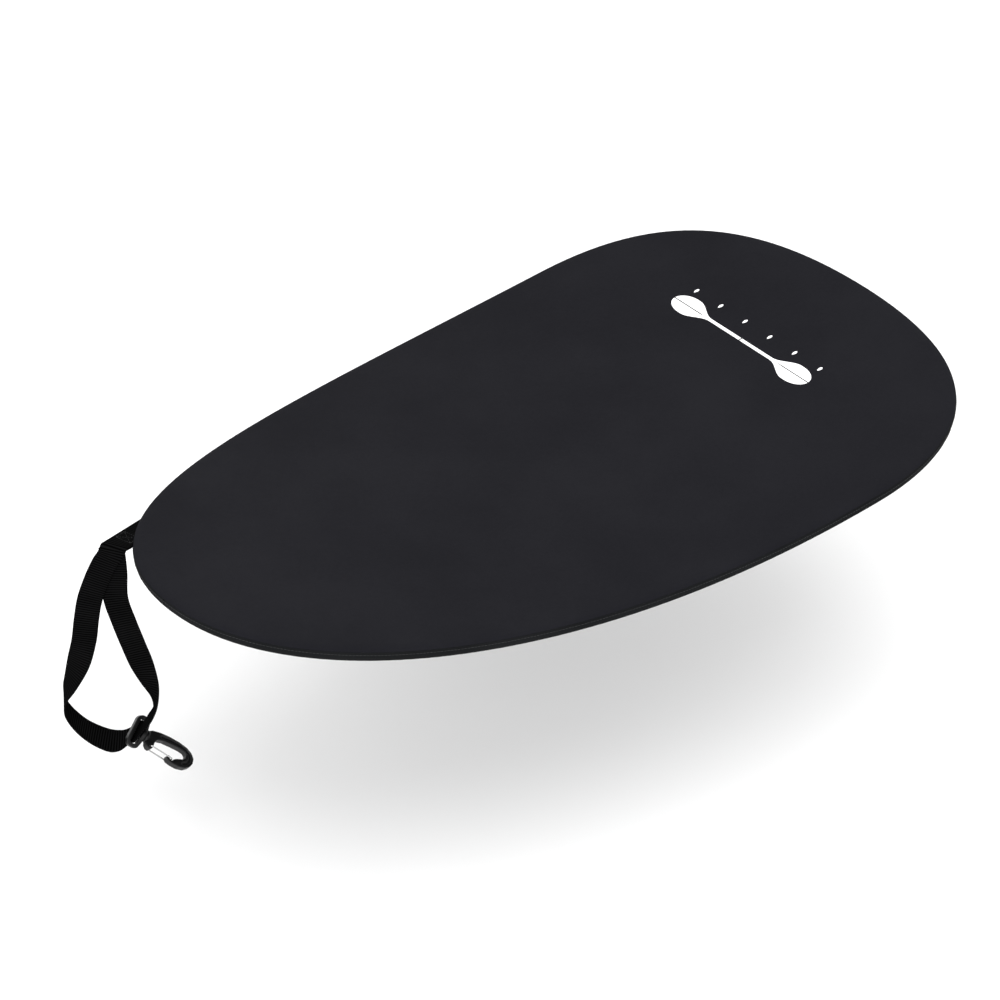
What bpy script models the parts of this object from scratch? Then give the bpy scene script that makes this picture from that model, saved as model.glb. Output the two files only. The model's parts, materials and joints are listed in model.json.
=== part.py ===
"""Kayak cockpit cover with a webbing tether and a swivel snap hook, modelled as separate pieces."""
import bpy
import bmesh
from math import ceil, cos, floor, hypot, pi, radians, sin
from mathutils import Matrix, Vector

# Driving dimensions, in metres unless the name says otherwise.

# Plan of the rim: an egg, narrow at the nose (-X) and widest behind the middle.
NOSE_LENGTH = 0.683        # nose tip to the widest section
TAIL_LENGTH = 0.223        # widest section to the tail
COVER_WIDTH = 0.544
NOSE_ROUNDNESS = 0.708     # curve handles as shares of the span they bend over
NOSE_REACH = 0.572
TAIL_REACH = 0.686
TAIL_ROUNDNESS = 0.679
RIM_RISE = 0.040           # how far nose and tail curve up above the middle of the rim
RIM_STATIONS = 80          # stations round the whole rim

# Cover fabric
PANEL_THICKNESS = 0.003
PANEL_EDGE_RADIUS = 0.0012
PANEL_RINGS = 5
EDGE_STEPS = 2             # segments of every rounded edge
SKIRT_THICKNESS = 0.0015
SKIRT_DROP = 0.012         # seam to the lowest point of the visible side
SKIRT_TUCK = 0.024         # how far the skirt turns in under the rim
SEAM_GAP = 0.0003          # between pieces that touch
SEAM_STEP = 0.0009         # skirt centre line in from the panel's edge
BAND_BULGE = 0.0005        # how far the side band stands out between its seam and its turn
BAND_TURN = 0.0018         # how far the band has curved in where it meets the turn-under
TUCK_SAG = 0.0008          # dip of the turn-under between the band and the hem
HEM_SEAT = 0.3             # share of the casing's radius that stands above the turn-under

# Elastic hem
CORD_RADIUS = 0.0025
CASING_CLEARANCE = 0.0004
CASING_WALL = 0.0010
CASING_SIDES = 8
CASING_MOUTH = 0.016       # opening at the tail where the cord's ends are joined
CRIMP_LENGTH = 0.014
CRIMP_SIDES = 12
CRIMP_WALL = 0.0009

# Tether
WEBBING_WIDTH = 0.025
WEBBING_THICKNESS = 0.0016
LAYER_GAP = 0.0004         # between the two webbing layers at the top of the loop
ANCHOR_ANGLE = 27.4        # degrees round the nose from the centre line to where the lead leaves
LEAD_OUT = 0.036           # rim to the fold
LEAD_IN = 0.038            # rim to the sewn end inside the seam
LEAD_TURN = 19.3           # degrees between the lead and the centre line
FOLD_TURN = -38.8          # heading of the fold line, degrees from +X
FOLD_EASE = 0.0030         # extra room under the lead's end, where the loop swings in
PATCH_HALF_LENGTH = 0.026
PATCH_REACH = 0.001        # patch past the skirt's turn, towards the rim

# Swivel hook
SLOT_CLEARANCE = 0.0013    # beside the webbing, at each end of the slot
SLOT_FRONT = 0.0040        # slot's centre line to its wall on the hook side
SLOT_BACK = 0.0030
EYE_BAR = 0.0042
EYE_CORNER = 0.0020        # corner radius beyond the bar's width
SLOT_EASE = 0.0012         # cut corners of the slot
EYE_THICKNESS = 0.0074
BOSS_RADIUS = 0.0068
BOSS_LENGTH = 0.0050
BOSS_EDGE = 0.0006
STEM_RADIUS = 0.0026
STEM_CLEARANCE = 0.0003
HEAD_RADIUS = 0.0043
HEAD_THICKNESS = 0.0014
FLANGE_RADIUS = 0.0066
FLANGE_THICKNESS = 0.0020
TURN_STEPS = 20            # facets of every turned solid
HOOK_THICKNESS = 0.0080
HOOK_EDGE_RADIUS = 0.0011
HOOK_TILT = -22.0          # degrees the hook is turned on its swivel
GATE_WIRE_RADIUS = 0.00075
GATE_CLEARANCE = 0.00035
GATE_PIVOT = (0.0060, 0.0095)
GATE_LATCH = (0.0320, 0.0109)
GATE_PIN_LENGTH = 0.0022
GATE_BEND = 0.0016

# Hanging loop of webbing, in the fold's own axes (X along the fold, Y away, Z up):
# a point of the centre line, and the direction of the webbing's width there.
LOOP_ROUTE = [
    ((0.0000, -0.0010, 0.0000), (1.00, 0.00, 0.00)),
    ((-0.0043, -0.0010, -0.0094), (0.95, 0.00, -0.30)),
    ((-0.0097, -0.0010, -0.0179), (0.92, 0.00, -0.38)),
    ((-0.0189, -0.0010, -0.0386), (0.90, 0.00, -0.43)),
    ((-0.0273, -0.0010, -0.0631), (0.96, 0.00, -0.28)),
    ((-0.0321, -0.0010, -0.0877), (0.98, 0.00, -0.17)),
    ((-0.0361, 0.0000, -0.1133), (0.99, 0.00, -0.14)),
    ((-0.0434, 0.0000, -0.1409), (0.90, -0.38, -0.22)),
    ((-0.0531, 0.0000, -0.1661), (0.52, -0.84, -0.18)),
    ((-0.0597, 0.0000, -0.1826), (0.18, -0.97, -0.14)),
    ((-0.0598, 0.0000, -0.1992), (0.05, -0.99, -0.10)),
    ((-0.0509, 0.0000, -0.2159), (0.00, -0.96, -0.25)),
    ((-0.0378, 0.0010, -0.2308), (0.00, -0.92, -0.38)),
    ((-0.0205, 0.0030, -0.2427), (-0.10, -0.88, -0.45)),
    ((-0.0093, 0.0060, -0.2459), (-0.25, -0.82, -0.50)),
    ((0.0001, 0.0072, -0.2417), (-0.36, -0.76, -0.54)),
    ((0.0077, 0.0042, -0.2325), (-0.42, -0.71, -0.56)),
    ((0.0102, 0.0000, -0.2291), (-0.42, -0.71, -0.56)),
    ((0.0128, -0.0042, -0.2257), (-0.42, -0.71, -0.56)),
    ((0.0201, -0.0072, -0.2128), (-0.30, -0.88, -0.35)),
    ((0.0281, -0.0070, -0.2000), (-0.08, -0.98, -0.15)),
    ((0.0296, -0.0058, -0.1844), (0.38, -0.92, 0.00)),
    ((0.0263, -0.0030, -0.1663), (0.82, -0.55, 0.12)),
    ((0.0199, -0.0008, -0.1440), (0.95, -0.12, 0.28)),
    ((0.0127, 0.0000, -0.1196), (0.94, 0.00, 0.33)),
    ((0.0049, 0.0006, -0.0914), (0.97, 0.00, 0.25)),
    ((-0.0017, 0.0010, -0.0621), (0.99, 0.00, 0.10)),
    ((-0.0007, 0.0010, -0.0303), (1.00, 0.00, 0.00)),
    ((-0.0021, 0.0010, 0.0000), (1.00, 0.00, 0.00)),
]
EYE_POINT = 17             # the route point that lies in the eye's slot
ROUTE_STEPS = 1            # sections between two route points
FOLD_FADE = 3             # how late the sections at the fold turn square to the loop

# Outline of the hook in its own plane: X from the flange to the tip, Y towards the gate.
HOOK_OUTLINE = [
    (-0.0005, -0.0055), (0.0030, -0.0078), (0.0120, -0.0100), (0.0220, -0.0111), (0.0340, -0.0111),
    (0.0440, -0.0096), (0.0505, -0.0066), (0.0545, -0.0020), (0.0553, 0.0035), (0.0535, 0.0085),
    (0.0490, 0.0125), (0.0420, 0.0148), (0.0340, 0.0150), (0.0285, 0.0140), (0.0262, 0.0118),
    (0.0264, 0.0092), (0.0280, 0.0082), (0.0300, 0.0090), (0.0303, 0.0118), (0.0334, 0.0120),
    (0.0345, 0.0095), (0.0380, 0.0072), (0.0430, 0.0050), (0.0458, 0.0022), (0.0458, -0.0018),
    (0.0430, -0.0042), (0.0370, -0.0047), (0.0280, -0.0042), (0.0180, -0.0032), (0.0115, -0.0010),
    (0.0092, 0.0025), (0.0090, 0.0070), (0.0088, 0.0105), (0.0066, 0.0127), (0.0032, 0.0122),
    (0.0008, 0.0095), (-0.0005, 0.0055),
]
HOOK_BITE_POINTS = (23, 24)     # the flat land where a ring bears

# Derived sizes
CASING_RADIUS = CORD_RADIUS + CASING_CLEARANCE + CASING_WALL
HEM_IN = SKIRT_TUCK + SEAM_GAP + CASING_RADIUS
HEM_DOWN = SKIRT_DROP + HEM_SEAT * CASING_RADIUS + SKIRT_THICKNESS / 2
HOOK_START = SLOT_FRONT + BOSS_LENGTH + SEAM_GAP + FLANGE_THICKNESS

CHARCOAL = (0.020, 0.020, 0.024)
BLACK = (0.007, 0.007, 0.007)
STEEL = (0.62, 0.62, 0.60)


def clear_scene():
    for item in list(bpy.data.objects):
        bpy.data.objects.remove(item, do_unlink=True)


def collection(name, hidden=False):
    made = bpy.data.collections.new(name)
    bpy.context.scene.collection.children.link(made)
    made.hide_render = hidden
    return made


def material(name, colour, roughness, metallic=0.0):
    made = bpy.data.materials.new(name)
    made.use_nodes = True
    surface = made.node_tree.nodes["Principled BSDF"]
    surface.inputs["Base Color"].default_value = (*colour, 1.0)
    surface.inputs["Roughness"].default_value = roughness
    surface.inputs["Metallic"].default_value = metallic
    made.diffuse_color = (*colour, 1.0)
    return made


def add_object(name, data, group, surface=None, parent=None):
    item = bpy.data.objects.new(name, data)
    group.objects.link(item)
    item.parent = parent
    if surface:
        data.materials.append(surface)
    return item


def mesh_from(name, points, faces, smooth=True):
    mesh = bpy.data.meshes.new(name)
    mesh.from_pydata([tuple(p) for p in points], [], faces)
    mesh.update()
    for face in mesh.polygons:
        face.use_smooth = smooth
    return mesh


def solidify(item, thickness, offset=0.0):
    shell = item.modifiers.new("thickness", "SOLIDIFY")
    shell.thickness = thickness
    shell.offset = offset
    shell.use_even_offset = True


def boolean(item, other, operation):
    cut = item.modifiers.new(f"{operation.lower()}_{other.name}", "BOOLEAN")
    cut.operation = operation
    cut.object = other
    cut.solver = "EXACT"


# The rim

def bezier(a, b, c, d, t):
    s = 1 - t
    return s * s * s * a + 3 * s * s * t * b + 3 * s * t * t * c + t * t * t * d


def rim_slope(a, b, c, d, t):
    s = 1 - t
    return 3 * (s * s * (b - a) + 2 * s * t * (c - b) + t * t * (d - c))


def rim_curves():
    """Two cubic curves of the port half, from the nose to the widest section and on to the tail."""
    half = COVER_WIDTH / 2
    length = NOSE_LENGTH + TAIL_LENGTH
    nose, wide, tail = -length / 2, NOSE_LENGTH - length / 2, length / 2
    front = (Vector((nose, 0)), Vector((nose, NOSE_ROUNDNESS * half)),
             Vector((wide - NOSE_REACH * NOSE_LENGTH, half)), Vector((wide, half)))
    back = (Vector((wide, half)), Vector((wide + TAIL_REACH * TAIL_LENGTH, half)),
            Vector((tail, TAIL_ROUNDNESS * half)), Vector((tail, 0)))
    return front, back


def rim_rise(x):
    return RIM_RISE * (2 * x / (NOSE_LENGTH + TAIL_LENGTH)) ** 2


def rim_at(share):
    """Rim point and outward normal; share 0 is the nose, 0.5 the tail, port side first."""
    share %= 1.0
    side = 1 if share <= 0.5 else -1
    along = 2 * min(share, 1 - share)
    front, back = rim_curves()
    split = NOSE_LENGTH / (NOSE_LENGTH + TAIL_LENGTH * 1.6)
    curve, t = (front, along / split) if along < split else (back, (along - split) / (1 - split))
    point, slope = bezier(*curve, t), rim_slope(*curve, t)
    out = Vector((-slope.y, slope.x)).normalized()
    return Vector((point.x, side * point.y)), Vector((out.x, side * out.y))


def rim_station(index, out, up):
    point, normal = rim_at(index / RIM_STATIONS)
    moved = point + normal * out
    return Vector((moved.x, moved.y, rim_rise(moved.x) + up))


def rim_place(share, out, up):
    """World point out from the rim line and up from the panel's underside, between stations."""
    index = floor(share * RIM_STATIONS)
    part = share * RIM_STATIONS - index
    return rim_station(index, out, up).lerp(rim_station(index + 1, out, up), part)


def rim_distance(start, end, steps=64):
    places = [rim_at(start + (end - start) * i / steps)[0] for i in range(steps + 1)]
    return sum((b - a).length for a, b in zip(places, places[1:]))


def share_at_angle(angle):
    """Share of the rim at an angle seen from the nose circle's centre."""
    centre = Vector((-(NOSE_LENGTH + TAIL_LENGTH) / 2 + COVER_WIDTH / 2, 0))
    low, high = 0.0, 0.25
    for _ in range(40):
        middle = (low + high) / 2
        line = rim_at(middle)[0] - centre
        if line.angle(Vector((-1, 0))) < radians(angle):
            low = middle
        else:
            high = middle
    return low


def swept_strip(name, profile, start, end, group, surface, closed_profile=False):
    """Open sheet that follows the rim between two shares, with the given (out, up) section."""
    between = [i / RIM_STATIONS for i in range(ceil(start * RIM_STATIONS), floor(end * RIM_STATIONS) + 1)]
    margin = 0.2 / RIM_STATIONS
    shares = [start] + [s for s in between if start + margin < s < end - margin] + [end]
    points = [rim_place(share, out, up) for share in shares for out, up in profile]
    row = len(profile)
    last = row if closed_profile else row - 1
    faces = [
        (i * row + j, i * row + (j + 1) % row, (i + 1) * row + (j + 1) % row, (i + 1) * row + j)
        for i in range(len(shares) - 1) for j in range(last)
    ]
    return add_object(name, mesh_from(name, points, faces), group, surface)


def skirt_profile():
    """Section of the skirt's centre line, from the rim seam down and in to the hem."""
    drop, tuck = SKIRT_DROP, SKIRT_TUCK
    return [
        (-SEAM_STEP, -SEAM_GAP),
        (-SEAM_STEP + BAND_BULGE, -0.35 * drop),
        (-SEAM_STEP, -0.65 * drop),
        (-SEAM_STEP - BAND_TURN, -0.88 * drop),
        (-0.25 * tuck, -drop),
        (-0.60 * tuck, -drop - TUCK_SAG),
        (-tuck, -HEM_DOWN + HEM_SEAT * CASING_RADIUS),
    ]


def top_panel(group):
    """Taut sheet over the whole opening: rings that shrink towards the centre."""
    points = [Vector((0, 0, 0))]
    shares = [i / RIM_STATIONS for i in range(RIM_STATIONS)]
    for ring in range(1, PANEL_RINGS + 1):
        scale = ring / PANEL_RINGS
        for share in shares:
            spot = rim_at(share)[0] * scale
            points.append(Vector((spot.x, spot.y, rim_rise(spot.x))))
    count = RIM_STATIONS
    faces = [(0, 1 + (i + 1) % count, 1 + i) for i in range(count)]
    for ring in range(PANEL_RINGS - 1):
        base = 1 + ring * count
        for i in range(count):
            j = (i + 1) % count
            faces.append((base + i, base + j, base + count + j, base + count + i))
    item = add_object("top_panel", mesh_from("top_panel", points, faces), group,
                      material("panel_fabric", CHARCOAL, 0.85))
    solidify(item, PANEL_THICKNESS, 1.0)
    edge = item.modifiers.new("edge", "BEVEL")
    edge.width = PANEL_EDGE_RADIUS
    edge.segments = EDGE_STEPS
    edge.angle_limit = radians(60)
    return item


def seam_shares():
    """Shares of the rim where the two halves of the skirt start and end."""
    whole = rim_distance(0.0, 1.0, 400)
    gap = SEAM_GAP / 2 / whole
    return gap, 0.5 - gap


def skirt_halves(group, lead_cutter):
    start, end = seam_shares()
    surface = material("skirt_fabric", CHARCOAL, 0.8)
    port = swept_strip("skirt_port", skirt_profile(), start, end, group, surface)
    starboard = swept_strip("skirt_starboard", skirt_profile(), 1 - end, 1 - start, group, surface)
    for item in (port, starboard):
        solidify(item, SKIRT_THICKNESS)
    boolean(port, lead_cutter, "DIFFERENCE")


def hem_casings(group):
    """Two fabric tubes along the hem, open at the nose seam and at the mouth in the tail."""
    radius = CORD_RADIUS + CASING_CLEARANCE + CASING_WALL / 2
    ring = [
        (-HEM_IN + radius * cos(2 * pi * i / CASING_SIDES),
         -HEM_DOWN + radius * sin(2 * pi * i / CASING_SIDES))
        for i in range(CASING_SIDES)
    ]
    start, _ = seam_shares()
    stop = 0.5 - CASING_MOUTH / 2 / rim_distance(0.0, 1.0, 400)
    surface = material("casing_fabric", CHARCOAL, 0.75)
    for name, first, last in (("hem_casing_port", start, stop),
                              ("hem_casing_starboard", 1 - stop, 1 - start)):
        item = swept_strip(name, ring, first, last, group, surface, closed_profile=True)
        solidify(item, CASING_WALL)


def shock_cord(group):
    """Elastic cord round the hem; its two ends meet in the crimp at the tail."""
    curve = bpy.data.curves.new("shock_cord", "CURVE")
    curve.dimensions = "3D"
    curve.bevel_depth = CORD_RADIUS
    curve.bevel_resolution = 2
    curve.use_fill_caps = True
    gap = SEAM_GAP / 2 / rim_distance(0.0, 1.0, 400)
    spline = curve.splines.new("POLY")
    spline.points.add(RIM_STATIONS)
    for i, point in enumerate(spline.points):
        share = 0.5 + gap + (1 - 2 * gap) * i / RIM_STATIONS
        point.co = (*rim_place(share, -HEM_IN, -HEM_DOWN), 1)
    spline.use_smooth = True
    add_object("shock_cord", curve, group, material("elastic_cord", BLACK, 0.6))


def cord_crimp(group):
    """Sleeve that joins the cord's ends inside the mouth of the casing."""
    reach = min(CRIMP_LENGTH, CASING_MOUTH - 2 * SEAM_GAP) / 2 / rim_distance(0.0, 1.0, 400)
    radius = CORD_RADIUS + CASING_CLEARANCE + CRIMP_WALL / 2
    ring = [
        (-HEM_IN + radius * cos(2 * pi * i / CRIMP_SIDES),
         -HEM_DOWN + radius * sin(2 * pi * i / CRIMP_SIDES))
        for i in range(CRIMP_SIDES)
    ]
    item = swept_strip("cord_crimp", ring, 0.5 - reach, 0.5 + reach, group,
                       material("crimp_metal", STEEL, 0.35, 1.0), closed_profile=True)
    solidify(item, CRIMP_WALL)


# The tether

def lead_axes():
    """Point where the lead crosses the rim, its outward direction and the way its width runs."""
    share = share_at_angle(ANCHOR_ANGLE)
    middle = -SEAM_GAP - WEBBING_THICKNESS - LAYER_GAP / 2
    crossing = rim_place(share, 0.0, middle)
    heading = Vector((-cos(radians(LEAD_TURN)), -sin(radians(LEAD_TURN)), 0))
    step = 0.001
    slope = (rim_rise(crossing.x + step) - rim_rise(crossing.x - step)) / (2 * step)
    normal = Vector((-slope, 0, 1)).normalized()
    outward = (heading - normal * heading.dot(normal)).normalized()
    return crossing, outward, normal.cross(outward)


def fold_frame():
    """World matrix of the fold line at the end of the lead, the hinge of the hanging loop."""
    crossing, outward, _ = lead_axes()
    return Matrix.Translation(crossing + outward * LEAD_OUT) @ Matrix.Rotation(
        radians(FOLD_TURN), 4, "Z")


def slab(name, origin, along, across, size, group):
    """Box with its length along one direction and its width across it."""
    up = along.cross(across)
    bpy.ops.mesh.primitive_cube_add(size=1.0)
    item = bpy.context.object
    item.name = name
    item.data.name = name
    for owner in list(item.users_collection):
        owner.objects.unlink(item)
    group.objects.link(item)
    turn = Matrix((along, across, up)).transposed().to_4x4()
    item.matrix_world = Matrix.Translation(origin) @ turn @ Matrix.Diagonal((*size, 1))
    return item


def lead_solid(surface, group):
    """The lead's two sewn layers; the outer end runs along the fold line and is undercut."""
    crossing, outward, across = lead_axes()
    normal = outward.cross(across)
    fold = fold_frame()
    inboard = fold.to_3x3() @ Vector((0, 1, 0))
    thick = 2 * WEBBING_THICKNESS + LAYER_GAP
    clear = thick / 2 + SEAM_GAP
    inner, outer = [], []
    for side in (-1, 1):
        for level, gap in ((-1, clear + FOLD_EASE), (1, clear)):
            base = crossing + across * (side * WEBBING_WIDTH / 2) + normal * (level * thick / 2)
            reach = (gap - (base - fold.translation).dot(inboard)) / outward.dot(inboard)
            inner.append(base - outward * LEAD_IN)
            outer.append(base + outward * reach)
    faces = [(0, 1, 3, 2), (4, 6, 7, 5), (0, 4, 5, 1), (2, 3, 7, 6), (0, 2, 6, 4), (1, 5, 7, 3)]
    return add_object("tether_lead", mesh_from("tether_lead", inner + outer, faces, False),
                      group, surface)


def tether_lead(group, cutters, surface):
    """The sewn lead, and the cutter that lets it through the skirt."""
    lead_solid(surface, group)
    crossing, outward, across = lead_axes()
    room = (LEAD_OUT + LEAD_IN, WEBBING_WIDTH + 2 * SEAM_GAP,
            2 * WEBBING_THICKNESS + LAYER_GAP + 2 * SEAM_GAP)
    middle = crossing + outward * ((LEAD_OUT - LEAD_IN) / 2 - SEAM_GAP)
    cutter = slab("lead_cutter", middle, outward, across, room, cutters)
    cutter.display_type = "WIRE"
    return cutter


def smooth_through(values, i, t):
    """Catmull-Rom value between entries i and i + 1 of a list of vectors."""
    last = len(values) - 1
    a, b, c, d = (values[min(max(k, 0), last)] for k in (i - 1, i, i + 1, i + 2))
    return 0.5 * (2 * b + (c - a) * t + (2 * a - 5 * b + 4 * c - d) * t * t
                  + (3 * b - 3 * c + d - a) * t * t * t)


def loop_sections():
    """Centre, width and face of each section; at the fold they slant to lie along it."""
    centres = [Vector(point) for point, _ in LOOP_ROUTE]
    widths = [Vector(width) for _, width in LOOP_ROUTE]
    steps = [(i, k / ROUTE_STEPS) for i in range(len(centres) - 1) for k in range(ROUTE_STEPS)]
    steps.append((len(centres) - 2, 1.0))
    small = 0.02
    sections = []
    for i, t in steps:
        centre = smooth_through(centres, i, t)
        ahead = smooth_through(centres, i, min(t + small, 1.0))
        behind = smooth_through(centres, i, max(t - small, 0.0))
        along = (ahead - behind).normalized()
        width = smooth_through(widths, i, t)
        square = width - along * width.dot(along)
        into = {0: t, len(centres) - 2: 1.0 - t}.get(i, 1.0)
        slant = along * width.dot(along) * (1.0 - into ** FOLD_FADE)
        sections.append((centre, (square + slant) / square.length, along.cross(square).normalized()))
    return sections


def strip_faces(rows):
    """Triangles of a flat strip, split alike on both faces so that a twist keeps them apart."""
    faces = [(3, 2, 1, 0), tuple(4 * (rows - 1) + j for j in range(4))]
    for i in range(rows - 1):
        for j in range(4):
            a, b = 4 * i + j, 4 * i + (j + 1) % 4
            c, d = b + 4, a + 4
            faces += [(a, b, d), (b, c, d)] if j == 2 else [(a, b, c), (a, c, d)]
    return faces


def tether_loop(group, parent, surface):
    """One strap from the fold down, through the eye and back up to the fold."""
    points = []
    for centre, width, face in loop_sections():
        for a, b in ((1, 1), (-1, 1), (-1, -1), (1, -1)):
            points.append(centre + width * (a * WEBBING_WIDTH / 2) + face * (b * WEBBING_THICKNESS / 2))
    faces = strip_faces(len(points) // 4)
    item = add_object("tether_loop", mesh_from("tether_loop", points, faces, False), group,
                      surface, parent)
    return item


def anchor_patch(group):
    """Reinforcing patch inside the skirt under the lead's sewn end."""
    share = share_at_angle(ANCHOR_ANGLE)
    reach = PATCH_HALF_LENGTH / rim_distance(0.0, 1.0, 400)
    lift = SKIRT_THICKNESS + SEAM_GAP
    low = skirt_profile()[4:]
    profile = [(out - PATCH_REACH * (i == 0), up + lift) for i, (out, up) in enumerate(low)]
    item = swept_strip("anchor_patch", profile, share - reach, share + reach, group,
                       material("patch_fabric", BLACK, 0.8))
    solidify(item, SKIRT_THICKNESS)


# The swivel hook

def eye_frame():
    """Matrix in the fold's axes: X towards the hook, Y along the slot, Z through it."""
    centre, width = LOOP_ROUTE[EYE_POINT]
    slot = Vector(width).normalized()
    through = Vector(LOOP_ROUTE[EYE_POINT - 1][0]) - Vector(LOOP_ROUTE[EYE_POINT + 1][0])
    through = (through - slot * through.dot(slot)).normalized()
    return Matrix.Translation(Vector(centre)) @ Matrix(
        (slot.cross(through), slot, through)).transposed().to_4x4()


def empty(name, group, matrix, parent):
    item = bpy.data.objects.new(name, None)
    item.empty_display_size = 0.01
    group.objects.link(item)
    item.parent = parent
    item.matrix_local = matrix
    return item


def flat_outline(name, outlines, thickness):
    """2D outline with any holes in it, filled and extruded to a thickness, as a closed mesh."""
    curve = bpy.data.curves.new(name, "CURVE")
    curve.dimensions = "2D"
    curve.fill_mode = "BOTH"
    curve.extrude = thickness / 2
    for outline in outlines:
        spline = curve.splines.new("POLY")
        spline.points.add(len(outline) - 1)
        for point, place in zip(spline.points, outline):
            point.co = (*place, 0, 1)
        spline.use_cyclic_u = True
    temporary = bpy.data.objects.new(name + "_curve", curve)
    bpy.context.scene.collection.objects.link(temporary)
    bpy.context.view_layer.update()
    graph = bpy.context.evaluated_depsgraph_get()
    mesh = bpy.data.meshes.new_from_object(temporary.evaluated_get(graph))
    bpy.data.objects.remove(temporary)
    shape = bmesh.new()
    shape.from_mesh(mesh)
    bmesh.ops.remove_doubles(shape, verts=shape.verts, dist=0.00001)
    bmesh.ops.recalc_face_normals(shape, faces=shape.faces)
    shape.to_mesh(mesh)
    shape.free()
    mesh.name = name
    return mesh


def turned(name, profile, group, parent):
    """Solid turned about the X axis from (along, radius) points that start and end on the axis."""
    points = [(radius, 0, along) for along, radius in reversed(profile)]
    mesh = bpy.data.meshes.new(name)
    mesh.from_pydata(points, [(i, i + 1) for i in range(len(points) - 1)], [])
    item = add_object(name, mesh, group, parent=parent)
    screw = item.modifiers.new("turn", "SCREW")
    screw.axis = "Z"
    screw.steps = screw.render_steps = TURN_STEPS
    screw.use_merge_vertices = True
    screw.merge_threshold = 0.00002
    item.rotation_euler = (0, pi / 2, 0)
    item.display_type = "WIRE"
    return item


def arc(centre, radius, start, end, steps):
    return [(centre[0] + radius * cos(radians(start + (end - start) * i / steps)),
             centre[1] + radius * sin(radians(start + (end - start) * i / steps)))
            for i in range(steps + 1)]


def swivel_eye(group, cutters, parent):
    """Stirrup that the webbing runs through, with a boss for the hook's stem."""
    half = WEBBING_WIDTH / 2 + SLOT_CLEARANCE
    outer = half + EYE_BAR
    back, front = -SLOT_BACK - EYE_BAR, SLOT_FRONT
    corner = EYE_BAR + EYE_CORNER
    face = SLOT_FRONT + BOSS_LENGTH
    outline = (
        arc((back + corner, outer - corner), corner, 180, 90, 4)
        + arc((front - 0.001, outer - EYE_BAR), EYE_BAR, 90, 20, 3)
        + [(face, BOSS_RADIUS * 0.9), (face, -BOSS_RADIUS * 0.9)]
        + arc((front - 0.001, -outer + EYE_BAR), EYE_BAR, -20, -90, 3)
        + arc((back + corner, -outer + corner), corner, -90, -180, 4)
    )
    ease = SLOT_EASE
    slot = [
        (-SLOT_BACK, -half + ease), (-SLOT_BACK + ease, -half), (front - ease, -half),
        (front, -half + ease), (front, half - ease), (front - ease, half),
        (-SLOT_BACK + ease, half), (-SLOT_BACK, half - ease),
    ]
    surface = material("eye_plastic", BLACK, 0.4)
    item = add_object("swivel_eye", flat_outline("swivel_eye", [outline, slot], EYE_THICKNESS),
                      group, surface, parent)
    soft = item.modifiers.new("edge", "BEVEL")
    soft.width = HOOK_EDGE_RADIUS
    soft.segments = EDGE_STEPS
    soft.angle_limit = radians(50)
    boss = turned("boss_blank", [(SLOT_FRONT + 0.0002, 0), (SLOT_FRONT + 0.0002, BOSS_RADIUS * 0.92),
                                 (SLOT_FRONT + 0.0012, BOSS_RADIUS), (face - BOSS_EDGE, BOSS_RADIUS),
                                 (face, BOSS_RADIUS - BOSS_EDGE), (face, 0)], cutters, parent)
    boolean(item, boss, "UNION")
    radius = STEM_RADIUS + STEM_CLEARANCE
    bore = turned("stem_bore", [(SLOT_FRONT - 0.001, 0), (SLOT_FRONT - 0.001, radius),
                                (face + 0.001, radius), (face + 0.001, 0)], cutters, parent)
    boolean(item, bore, "DIFFERENCE")


def hook_frame():
    """Matrix in the eye's axes: the hook's own X and Y, turned on the swivel."""
    return Matrix.Translation((HOOK_START, 0, 0)) @ Matrix.Rotation(radians(HOOK_TILT), 4, "X")


def hook_body(group, cutters, parent):
    """Moulded hook with its flange and the headed stem that holds it in the eye."""
    surface = material("hook_plastic", BLACK, 0.35)
    item = add_object("hook_body", flat_outline("hook_body", [HOOK_OUTLINE], HOOK_THICKNESS),
                      group, surface, parent)
    soft = item.modifiers.new("edge", "BEVEL")
    soft.width = HOOK_EDGE_RADIUS
    soft.segments = EDGE_STEPS
    soft.angle_limit = radians(50)
    wall = -FLANGE_THICKNESS - SEAM_GAP - BOSS_LENGTH
    head = wall - SEAM_GAP
    stem = turned("stem_blank", [
        (head - HEAD_THICKNESS, 0), (head - HEAD_THICKNESS, HEAD_RADIUS * 0.7),
        (head - HEAD_THICKNESS * 0.5, HEAD_RADIUS), (head, HEAD_RADIUS), (head, STEM_RADIUS),
        (-FLANGE_THICKNESS, STEM_RADIUS), (-FLANGE_THICKNESS, FLANGE_RADIUS),
        (0.0002, FLANGE_RADIUS), (0.0012, FLANGE_RADIUS * 0.75), (0.0012, 0),
    ], cutters, parent)
    boolean(item, stem, "UNION")
    hole = gate_bore("gate_bore", GATE_WIRE_RADIUS + GATE_CLEARANCE, cutters, parent)
    boolean(item, hole, "DIFFERENCE")


def gate_bore(name, radius, group, parent):
    bpy.ops.mesh.primitive_cylinder_add(vertices=16, radius=radius, depth=HOOK_THICKNESS * 2)
    item = bpy.context.object
    item.name = name
    item.data.name = name
    for owner in list(item.users_collection):
        owner.objects.unlink(item)
    group.objects.link(item)
    item.parent = parent
    item.location = (*GATE_PIVOT, 0)
    item.display_type = "WIRE"
    return item


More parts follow.
